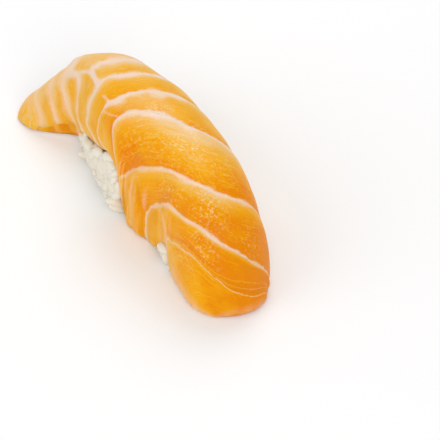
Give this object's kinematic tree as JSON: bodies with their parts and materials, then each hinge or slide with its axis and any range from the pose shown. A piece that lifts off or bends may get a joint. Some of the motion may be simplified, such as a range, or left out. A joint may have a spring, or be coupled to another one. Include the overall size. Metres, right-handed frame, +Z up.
{
  "type": "salmon nigiri sushi",
  "caption": "Salmon nigiri: a marbled slice of raw salmon draped over a hand-pressed bed of rice, with a tail corner running out flat and a nose rolled down to the table.",
  "frame": {"origin": "centre of the bounding box, on the table plane", "axes": "+X from the tail corner to the rolled-down nose, +Y to the right flank, +Z up"},
  "size_m": [0.0876, 0.0389, 0.0272],
  "materials": {
    "salmon": "moist raw salmon with pale fat lines, soft sheen",
    "rice": "cooked short-grain rice, pressed, faintly moist"
  },
  "bodies": {
    "root": {"salmon": "salmon", "rice": "rice"}
  },
  "joints": []
}
